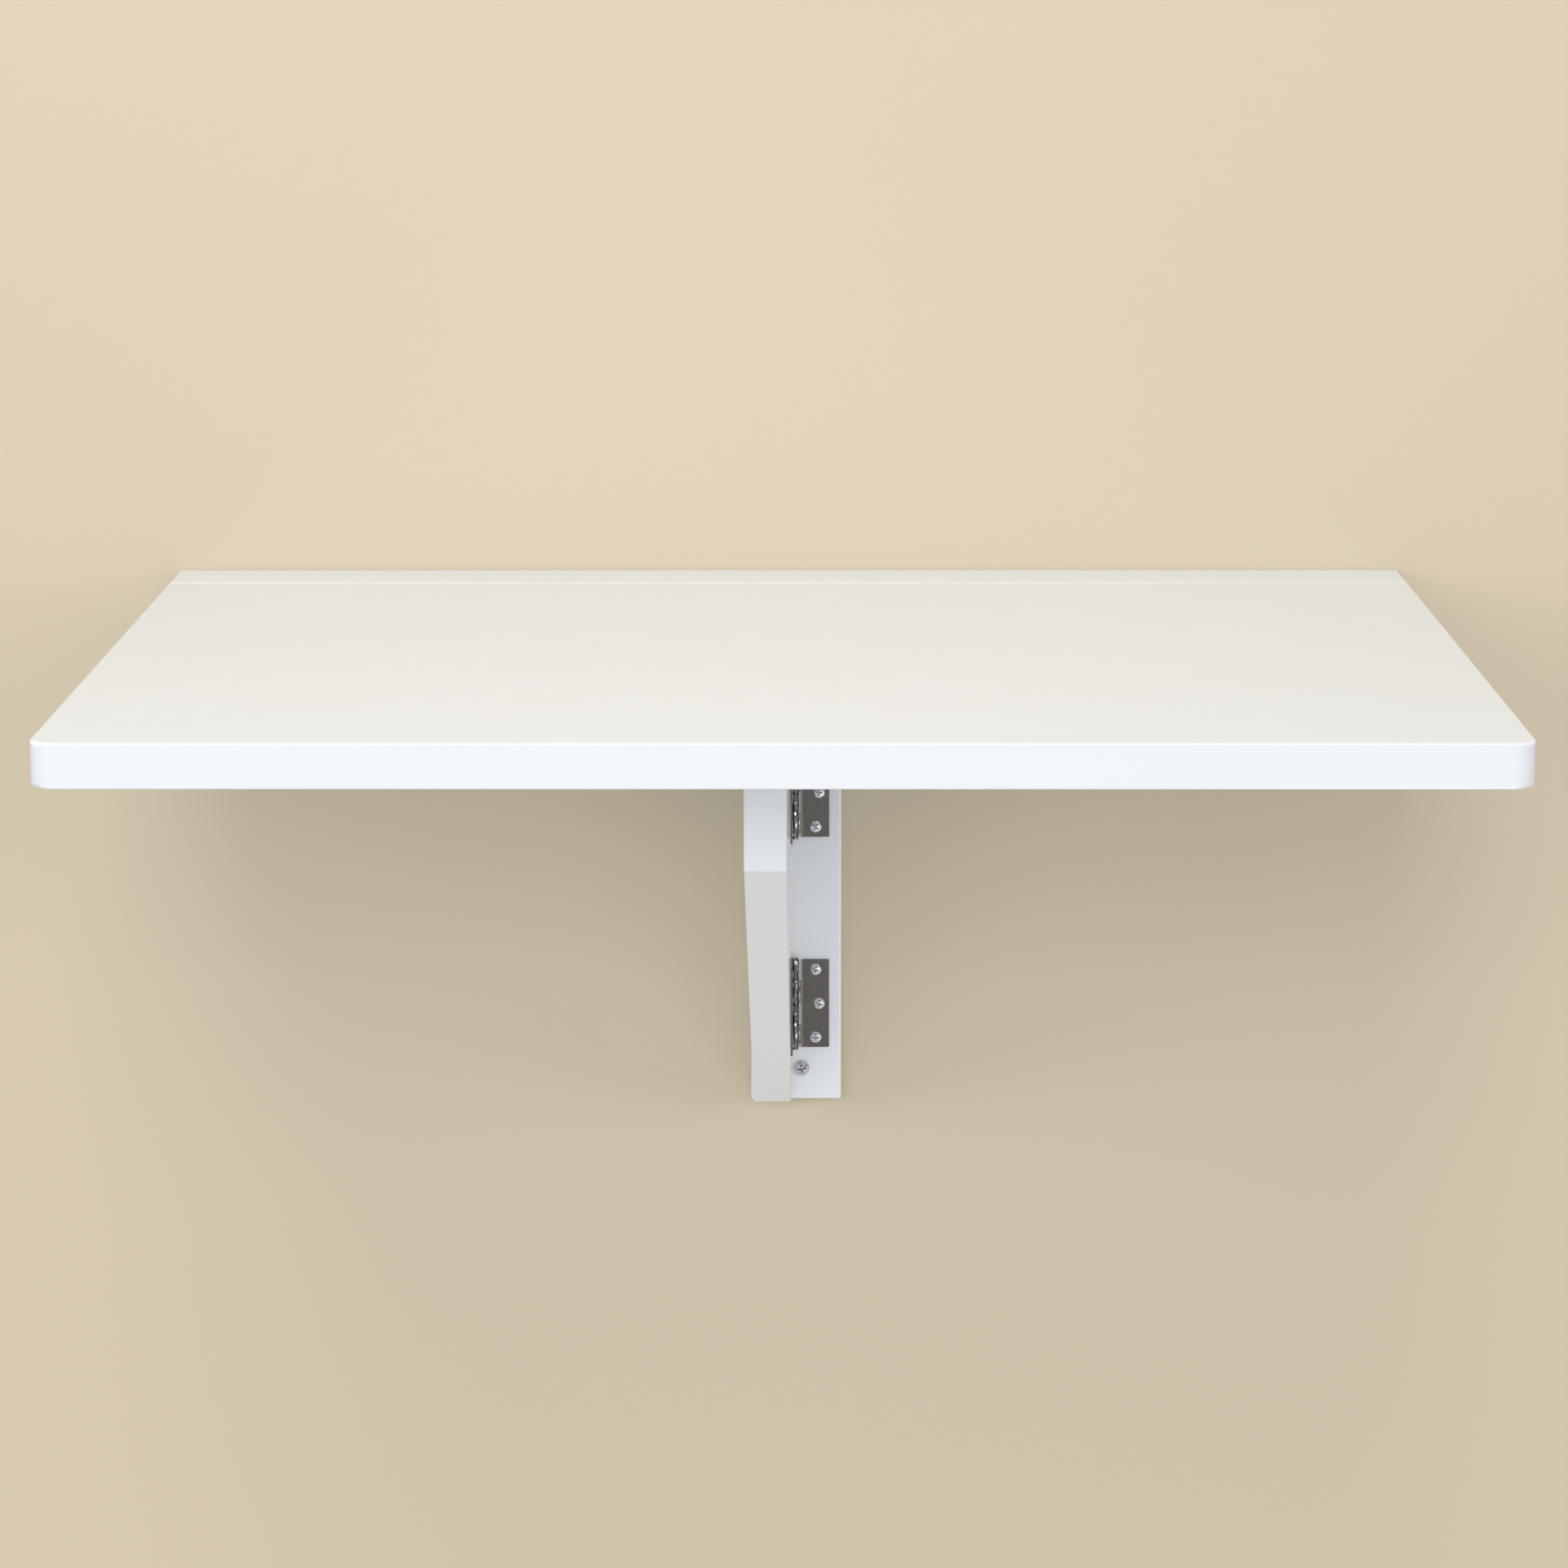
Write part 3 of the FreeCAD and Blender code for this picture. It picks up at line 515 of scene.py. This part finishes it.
class Net:
    """The nodes of a material or of the world, starting from none."""

    def __init__(self, owner):
        self.owner = owner
        owner.use_nodes = True
        self.tree = owner.node_tree
        self.tree.nodes.clear()

    def node(self, kind, settings=(), sockets=(), output=0):
        """Adds a node: its settings first, then a value or a link for each named socket."""
        node = self.tree.nodes.new(kind)
        for name, value in dict(settings).items():
            setattr(node, name, value)
        for name, value in dict(sockets).items():
            if isinstance(value, Wire):
                self.tree.links.new(value.socket, node.inputs[name])
            else:
                node.inputs[name].default_value = value
        return Wire(self, node.outputs[output]) if node.outputs else None

    def maths(self, operation, *terms, clamp=False):
        """One operation on one or two numbers or wires."""
        settings = {"operation": operation, "use_clamp": clamp}
        return self.node("ShaderNodeMath", settings, dict(enumerate(terms)))

    def place(self):
        """Where a point is on the object, in metres."""
        return self.node("ShaderNodeTexCoord", output="Object")

    def stretched(self, vector, scale):
        return self.node("ShaderNodeMapping", {}, {"Vector": vector, "Scale": scale})

    def noise(self, vector, scale, detail, roughness=0.5):
        return self.node("ShaderNodeTexNoise", {}, {
            "Vector": vector, "Scale": scale, "Detail": detail, "Roughness": roughness})

    def mix(self, share, first, second):
        """One colour at the share 0 and the other at 1."""
        return self.node("ShaderNodeMix", {"data_type": "RGBA"},
                         {"Factor": share, 6: first, 7: second}, output=2)

    def bump(self, height, distance, strength, normal=None):
        """The normal over a height, on top of another bump's where one is given."""
        sockets = {"Height": height, "Distance": distance, "Strength": strength}
        if normal is not None:
            sockets["Normal"] = normal
        return self.node("ShaderNodeBump", {}, sockets)

    def finish(self, sockets):
        """Adds the Principled shader and the output, and returns the material."""
        surface = self.node("ShaderNodeBsdfPrincipled", {}, sockets)
        self.node("ShaderNodeOutputMaterial", {}, {"Surface": surface})
        return self.owner


def colour(red, green, blue):
    return (red, green, blue, 1)


def white_lacquer():
    """Satin-gloss white lacquer: slow tone changes, orange peel, dust nibs and fine scuffs."""
    cool = colour(0.783, 0.806, 0.832)
    clean = colour(0.806, 0.828, 0.850)
    dull = colour(0.75, 0.77, 0.79)
    dust = colour(0.30, 0.29, 0.27)
    net = Net(bpy.data.materials.new("white_lacquer"))
    place = net.place()
    cloud = net.noise(place, scale=7, detail=3)
    mottle = net.noise(place, scale=55, detail=2)
    cells = net.node("ShaderNodeTexVoronoi", {"voronoi_dimensions": "3D"},
                     {"Vector": place, "Scale": 26, "Randomness": 1.0}, output="Distance")
    nib = 1 - cells.above(0.010, width=0.006)
    peel = net.noise(place, scale=420, detail=1.5, roughness=0.4)
    sway = net.noise(net.stretched(place, (9, 5, 9)), scale=1.6, detail=1)
    rubbing = net.noise(net.stretched(place, (14, 260, 90)), scale=3, detail=2, roughness=0.6)
    scuff = rubbing.above(0.62, width=0.12)
    tone = net.mix(cloud, cool, clean)
    tone = net.mix(mottle * 0.12, tone, dull)
    tone = net.mix(nib * 0.55, tone, dust)
    gloss = 0.15 + mottle * 0.05 + scuff * 0.03 + nib * 0.2
    surface = net.bump(sway, distance=0.003, strength=0.22)
    surface = net.bump(peel + nib * 1.5, distance=0.00008, strength=0.35, normal=surface)
    return net.finish({"Base Color": tone, "Roughness": gloss, "Normal": surface,
                       "IOR": 1.5, "Coat Weight": 0.2, "Coat Roughness": 0.12})


def hinge_steel():
    """Dark rolled steel: drawing lines, blotches, a painted highlight along the bend, and near-white
    streaks on the knuckles that are partly rubbed steel and partly painted glints.

    The grain map gives the distance across the sheet from the pin's axis, and along the pin.
    """
    dark = colour(0.074, 0.069, 0.064)
    pale = colour(0.130, 0.121, 0.112)
    drawn = colour(0.16, 0.152, 0.145)
    worn = colour(0.33, 0.32, 0.31)
    bend_highlight = colour(0.36, 0.35, 0.30)
    bright = colour(0.82, 0.82, 0.82)
    net = Net(bpy.data.materials.new("hinge_steel"))
    grain = net.node("ShaderNodeUVMap", {"uv_map": "grain"})
    across = net.node("ShaderNodeSeparateXYZ", {}, {"Vector": grain}, output="X")
    lines = net.noise(net.stretched(grain, (1800, 60, 1)), scale=1, detail=3, roughness=0.6)
    blotch = net.noise(grain, scale=160, detail=4, roughness=0.6)
    wear = net.noise(grain, scale=420, detail=3, roughness=0.55).above(0.60, width=0.10)
    rolled = 1 - across.above(SLOT_X - 1.2 * MM, width=0.6 * MM)
    # painted glints: near-white streaks on the knuckles, partly rubbed steel and partly standing in
    # for highlights
    streaks = net.noise(net.stretched(grain, (1700, 120, 1)), scale=1, detail=2)
    rubbed_and_glint = streaks.above(0.56, width=0.06) * rolled
    # painted highlight: a paler line along the bend, where the rolled sheet catches light
    bend = 1 - abs(across - SLOT_X - 0.3 * MM).above(0.15 * MM, width=0.45 * MM)
    tone = net.mix(blotch, dark, pale)
    tone = net.mix(lines * 0.35, tone, drawn)
    tone = net.mix(wear * 0.22, tone, worn)
    # painted highlight along the bend
    tone = net.mix(bend * 0.45, tone, bend_highlight)
    # painted glints on the knuckles, partly rubbed steel
    tone = net.mix(rubbed_and_glint, tone, bright)
    gloss = 0.30 + lines * 0.12 - wear * 0.05 - rubbed_and_glint * 0.16
    surface = net.bump(lines, distance=0.00004, strength=0.5)
    surface = net.bump(blotch, distance=0.00012, strength=0.3, normal=surface)
    return net.finish({"Base Color": tone, "Metallic": 1.0, "Roughness": gloss, "Normal": surface})


def zinc_plate():
    """Bright zinc plate on screws, slightly dulled in blotches."""
    dulled = colour(0.50, 0.51, 0.52)
    bright = colour(0.80, 0.81, 0.83)
    net = Net(bpy.data.materials.new("zinc_screw"))
    place = net.place()
    blotch = net.noise(place, scale=700, detail=3, roughness=0.6)
    fine = net.noise(place, scale=4200, detail=2)
    tone = net.mix(blotch, dulled, bright)
    gloss = 0.20 + blotch * 0.16
    surface = net.bump(fine, distance=0.00003, strength=0.4)
    return net.finish({"Base Color": tone, "Metallic": 1.0, "Roughness": gloss, "Normal": surface})


def bare_beech():
    """Bare beech: fibres along the dowel and short darker flecks."""
    late_wood = colour(0.52, 0.34, 0.19)
    early_wood = colour(0.70, 0.50, 0.32)
    ray = colour(0.36, 0.20, 0.10)
    net = Net(bpy.data.materials.new("bare_beech"))
    place = net.place()
    fibre = net.noise(net.stretched(place, (1400, 1400, 90)), scale=1, detail=3)
    fleck = net.noise(net.stretched(place, (2600, 2600, 420)), scale=1, detail=1)
    tone = net.mix(fibre, late_wood, early_wood)
    tone = net.mix(fleck.above(0.62, width=0.08) * 0.5, tone, ray)
    surface = net.bump(fibre, distance=0.0001, strength=0.4)
    return net.finish({"Base Color": tone, "Roughness": 0.55 + fibre * 0.15, "Normal": surface})


def one_sided(name, shade, glow=0.0):
    """A plain stage surface that only the camera, gloss and glass see, and only from its front.

    Soft light from the lamps passes through it. The object's shadow falls on it, and it may glow
    a little.
    """
    net = Net(bpy.data.materials.new(name))
    front = 1 - net.node("ShaderNodeNewGeometry", output="Backfacing")
    seen = net.node("ShaderNodeLightPath", output="Is Camera Ray")
    for path in ("Is Glossy Ray", "Is Transmission Ray"):
        seen = seen + net.node("ShaderNodeLightPath", output=path)
    solid = net.maths("MINIMUM", seen, 1.0) * front
    plain = net.node("ShaderNodeBsdfDiffuse", {}, {"Color": shade})
    if glow:
        own = net.node("ShaderNodeEmission", {}, {"Color": colour(1, 0.99, 0.97), "Strength": glow})
        plain = net.node("ShaderNodeAddShader", {}, {0: plain, 1: own})
    clear = net.node("ShaderNodeBsdfTransparent")
    both = net.node("ShaderNodeMixShader", {}, {0: solid, 1: clear, 2: plain})
    net.node("ShaderNodeOutputMaterial", {}, {"Surface": both})
    return net.owner


# ---- pieces ----------------------------------------------------------------------------------


def new_piece(name, form, material, body, node, grain=None):
    """Makes a piece from a form and lets it stand for a node of the frame.

    grain is the place whose first two axes give the piece's grain map, in metres.
    """
    points, corners, sizes = form
    mesh = bpy.data.meshes.new(name)
    mesh.from_pydata(points, [], np.split(corners, np.cumsum(sizes)[:-1]))
    mesh.polygons.foreach_set("use_smooth", np.ones(len(sizes), bool))
    mesh.set_sharp_from_angle(angle=SMOOTH_BELOW)
    if grain is not None:
        origin, axes = grain
        flat = ((points - origin) @ axes[:2].T)[corners]
        mesh.uv_layers.new(name="grain").data.foreach_set("uv", flat.astype(np.float32).ravel())
    mesh.materials.append(material)
    piece = bpy.data.objects.new(name, mesh)
    bpy.context.scene.collection.objects.link(piece)
    piece.modifiers.new("even_faces", "WEIGHTED_NORMAL").keep_sharp = True
    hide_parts(node)
    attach(piece, body)


def extent(node):
    """A node's lowest and highest corners as arrays."""
    return tuple(np.array(corner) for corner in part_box(node))


lacquer = white_lacquer()
steel = hinge_steel()
zinc = zinc_plate()
beech = bare_beech()


def tabletop():
    """The fixed strip and the leaf, whose two front corners are round."""
    low, high = extent("table_leaf")
    form = board(rectangle(low[:2], high[:2]), [LEAF_CORNER, LEAF_CORNER, END_CORNER, END_CORNER],
                 high[2] - low[2],
                 [UNDER_ROUND, UNDER_ROUND, BACK_ROUND, UNDER_ROUND],
                 [TOP_ROUND, TOP_ROUND, SEAM_ROUND, TOP_ROUND],
                 seat((0, 0, low[2]), RIGHT, WALLWARD), LEAF_CORNER_STEPS,
                 softened=[LEAF_SOFTENING, LEAF_SOFTENING, 0, 0])
    new_piece("leaf_panel", form, lacquer, "leaf", "table_leaf")
    low, high = extent("rear_strip")
    form = board(rectangle(low[:2], high[:2]), [END_CORNER] * 4, high[2] - low[2],
                 [BACK_ROUND, UNDER_ROUND, BACK_ROUND, UNDER_ROUND],
                 [SEAM_ROUND, TOP_ROUND, BACK_ROUND, TOP_ROUND],
                 seat((0, 0, low[2]), RIGHT, WALLWARD))
    new_piece("strip_panel", form, lacquer, "wall_unit", "rear_strip")


def wall_frame():
    """The batten under the strip and the post below it."""
    for node, name in (("wall_batten", "batten_board"), ("wall_post", "post_board")):
        low, high = extent(node)
        form = board(rectangle(low[[0, 2]], high[[0, 2]]), [END_CORNER] * 4, high[1] - low[1],
                     BACK_ROUND, [FRAME_ROUND, FRAME_ROUND, BACK_ROUND, FRAME_ROUND],
                     seat((0, high[1], 0), RIGHT, UP))
        new_piece(name, form, lacquer, "wall_unit", node)


def bracket_arm():
    """The swinging support, tapered to the front, with the notch that passes the leaf hinge."""
    (left, front, foot), (right, rear, crest) = extent("bracket_board")
    openings = {opening["name"]: opening for opening in frame["record"]["physics"]["openings"]}
    (_, notch_far, notch_floor), (_, notch_near, _) = openings["bracket_notch"]["box_m"]
    notch_far -= NOTCH_END_SPARE
    notch_near += NOTCH_END_SPARE
    notch_floor -= NOTCH_FLOOR_SPARE
    nose = extent("table_leaf")[1][2] - BRACKET_NOSE
    corners = [(rear, foot), (rear, crest),
               (notch_near, crest), (notch_near, notch_floor),
               (notch_far, notch_floor), (notch_far, crest),
               (front, crest), (front, nose), (rear - BRACKET_TOE, foot)]
    radii = np.full(len(corners), BRACKET_CORNER)
    radii[3:5] = NOTCH_CORNER
    form = board(corners, radii, right - left, BRACKET_ROUND, BRACKET_ROUND,
                 seat((left, 0, 0), WALLWARD, UP))
    new_piece("bracket_arm", form, lacquer, "bracket", "bracket_board")


# each hinge: its pin's node, the name of the piece for it, and for both of its plates the node,
# the way from the pin to the free edge, and the way that the screws' heads face
HINGES = (
    ("upper_hinge_pin", "upper_pin", (
        ("upper_post_plate", RIGHT, OUT), ("upper_bracket_plate", OUT, RIGHT))),
    ("lower_hinge_pin", "lower_pin", (
        ("lower_post_plate", RIGHT, OUT), ("lower_bracket_plate", OUT, RIGHT))),
    ("left_leaf_pin", "left_pin", (
        ("left_strip_plate", WALLWARD, DOWN), ("left_leaf_plate", OUT, DOWN))),
    ("right_leaf_pin", "right_pin", (
        ("right_strip_plate", WALLWARD, DOWN), ("right_leaf_plate", OUT, DOWN))),
)

# the random turns of the screws' recesses
HINGE_SCREW_SEED = 7
WALL_SCREW_SEED = 3


def hinge_pins():
    """Makes the pins, and returns the place of each plate by its node's name."""
    places = {}
    for pin, name, plates in HINGES:
        low, high = extent(pin)
        middle = (low + high) / 2
        direction = UP if high[2] - low[2] > high[0] - low[0] else RIGHT
        across = RIGHT if direction is UP else OUT
        form = hinge_pin((high - low) @ direction, seat(middle, across, np.cross(direction, across)))
        new_piece(name, form, steel, "wall_unit", pin,
                  grain=seat(middle, across, direction))
        for plate, along, facing in plates:
            places[plate] = seat(middle - facing * AXIS_RISE, along, np.cross(facing, along))
    return places


def butt_hinges():
    """The pins, the plates and the plates' screws, which are one piece for each board."""
    bodies = {"post": "wall_unit", "bracket": "bracket", "strip": "wall_unit", "leaf": "leaf"}
    screws = {side: [] for side in bodies}
    generator = np.random.default_rng(HINGE_SCREW_SEED)
    for plate, where in hinge_pins().items():
        side = plate.split("_")[1]
        name = plate.replace("_plate", "_hinge_half")
        new_piece(name, hinge_plate(where), steel, bodies[side], plate, grain=where)
        origin, axes = where
        for across, along in SCREW_SPOTS:
            spot = origin + axes[0] * across + axes[1] * along
            screws[side].append(hinge_screw((spot, axes), generator.uniform(0, math.pi / 2)))
    for side, forms in screws.items():
        new_piece(f"{side}_plate_screws", joined(*forms), zinc, bodies[side],
                  f"{side}_hinge_screws")


def wall_screws():
    """The screws in the batten and in the post's foot, where the record's mounts have them."""
    low, high = extent("wall_post")
    front = low[1]
    thickness = high[1] - low[1]
    groups = {"batten_screws": [], "foot_screw": []}
    generator = np.random.default_rng(WALL_SCREW_SEED)
    for mount in frame["record"]["mounts"]:
        if mount["kind"] == "pin":
            x, _, z = mount["pos_m"]
            node = "foot_screw" if mount["name"].startswith("foot") else "batten_screws"
            turn = generator.uniform(0, math.pi / 2)
            groups[node].append(wall_screw(seat((x, front, z), RIGHT, UP), turn, thickness))
    for node, forms in groups.items():
        new_piece(f"{node}_set", joined(*forms), zinc, "wall_unit", node)


def dowels():
    """The dowels keep their solids, with the beech on them."""
    for node in ("strip_dowels", "post_dowels"):
        for held in frame["nodes"][node].material_slots:
            held.material = beech


tabletop()
wall_frame()
bracket_arm()
butt_hinges()
wall_screws()
dowels()

# ---- stage, light and camera -----------------------------------------------------------------

WALL_BEHIND = 1.5 * MM
WALL_REACH = 4.0
FLOOR_Z = -0.74
FLOOR_REACH = 40.0
WALL_SHADE = colour(0.60, 0.52, 0.385)
FLOOR_SHADE = colour(0.50, 0.495, 0.48)
FLOOR_GLOW = 0.24

SKY = colour(0.97, 0.985, 1.0)
SKY_LEVEL = 0.38
BACKDROP = colour(0.44, 0.435, 0.425)

CAMERA_PLACE = (0.0177, -2.9682, 0.4703)
CAMERA_FALL = math.radians(11.45)
CAMERA_TURN = math.radians(0.40)
CAMERA_ROLL = math.radians(-0.07)
CAMERA_SIGHT = 50
IMAGE_PIXELS = 1932
FOCAL_PIXELS = 5622
SENSOR_MM = 36


def stage_plane(name, corners, material):
    """A plain face of the stage, which faces the side that sees its corners anticlockwise."""
    mesh = bpy.data.meshes.new(name)
    mesh.from_pydata(corners, [], [range(len(corners))])
    mesh.materials.append(material)
    plane = bpy.data.objects.new(name, mesh)
    bpy.context.scene.collection.objects.link(plane)


def wall_and_floor():
    """The wall right behind the table and the floor some way below it."""
    upright = rectangle((-WALL_REACH, FLOOR_Z), (WALL_REACH, WALL_REACH))
    level = rectangle((-FLOOR_REACH, -FLOOR_REACH), (FLOOR_REACH, FLOOR_REACH))
    stage_plane("wall", [(x, WALL_BEHIND, z) for x, z in upright],
                one_sided("pale_wall", WALL_SHADE))
    stage_plane("floor", [(x, y, FLOOR_Z) for x, y in level],
                one_sided("pale_floor", FLOOR_SHADE, FLOOR_GLOW))


def softbox(name, place, target, size, level, mirrored=False, diffuse=True):
    """A soft lamp that lights a white surface, facing it at its target, to the given level.

    Its power is the level times pi squared times the squared distance. Gloss shows the lamp only
    if it is mirrored, and it lights matt surfaces only if it is diffuse.
    """
    lamp = bpy.data.lights.new(name, "AREA")
    lamp.shape = "RECTANGLE"
    lamp.size, lamp.size_y = size
    reach = Vector(target) - Vector(place)
    lamp.energy = level * math.pi ** 2 * reach.length_squared
    holder = bpy.data.objects.new(name, lamp)
    holder.location = place
    holder.rotation_euler = reach.to_track_quat("-Z", "Y").to_euler()
    holder.visible_camera = False
    holder.visible_glossy = mirrored
    holder.visible_diffuse = diffuse
    bpy.context.scene.collection.objects.link(holder)


def lamps():
    """One large lamp above that gloss shows, soft fill from all sides, and a spark for the steel."""
    softbox("overhead", (-0.3, -1.3, 2.3), (0, -0.3, 0), size=(1.6, 1.2), level=0.62, mirrored=True)
    softbox("front", (-0.3, -4.2, 0.95), (0, -0.3, -0.05), size=(3.2, 1.1), level=0.31)
    softbox("left", (-3.2, -2.2, 0.6), (-0.4, -0.5, 0), size=(1.6, 1.4), level=0.32)
    softbox("right", (3.2, -2.2, 0.6), (0.4, -0.5, 0), size=(1.6, 1.4), level=0.28)
    softbox("bounce", (0.1, -0.75, -0.72), (0.1, -0.74, 0.0), size=(2.0, 1.5), level=0.97)
    softbox("rear", (0.8, 3.2, 1.3), (0, 0, -0.1), size=(2.4, 1.6), level=0.28)
    softbox("glint", (0.5, -1.5, -0.55), (0, -0.03, -0.2), size=(0.3, 0.3), level=0.10,
            mirrored=True, diffuse=False)


def studio_world():
    """Even, slightly cool light from everywhere, seen by the camera as a plain pale backdrop."""
    world = bpy.data.worlds.new("studio")
    net = Net(world)
    light = net.node("ShaderNodeBackground", {}, {"Color": SKY, "Strength": SKY_LEVEL})
    shown = net.node("ShaderNodeBackground", {}, {"Color": BACKDROP, "Strength": 1.0})
    looked_at = net.node("ShaderNodeLightPath", output="Is Camera Ray")
    both = net.node("ShaderNodeMixShader", {}, {0: looked_at, 1: light, 2: shown})
    net.node("ShaderNodeOutputWorld", {}, {"Surface": both})
    bpy.context.scene.world = world


def viewpoint():
    """A camera in front of the table, a little above it, looking slightly down."""
    camera = bpy.data.cameras.new("camera")
    camera.sensor_width = SENSOR_MM
    camera.lens = FOCAL_PIXELS / IMAGE_PIXELS * SENSOR_MM
    camera.clip_end = CAMERA_SIGHT
    viewer = bpy.data.objects.new("camera", camera)
    fall = Matrix.Rotation(math.pi / 2 - CAMERA_FALL, 4, "X")
    turn = Matrix.Rotation(CAMERA_TURN, 4, "Z")
    roll = Matrix.Rotation(CAMERA_ROLL, 4, "Z")
    viewer.matrix_world = Matrix.Translation(CAMERA_PLACE) @ turn @ fall @ roll
    bpy.context.scene.collection.objects.link(viewer)
    bpy.context.scene.camera = viewer
    bpy.context.scene.view_settings.view_transform = "Standard"


wall_and_floor()
lamps()
studio_world()
viewpoint()
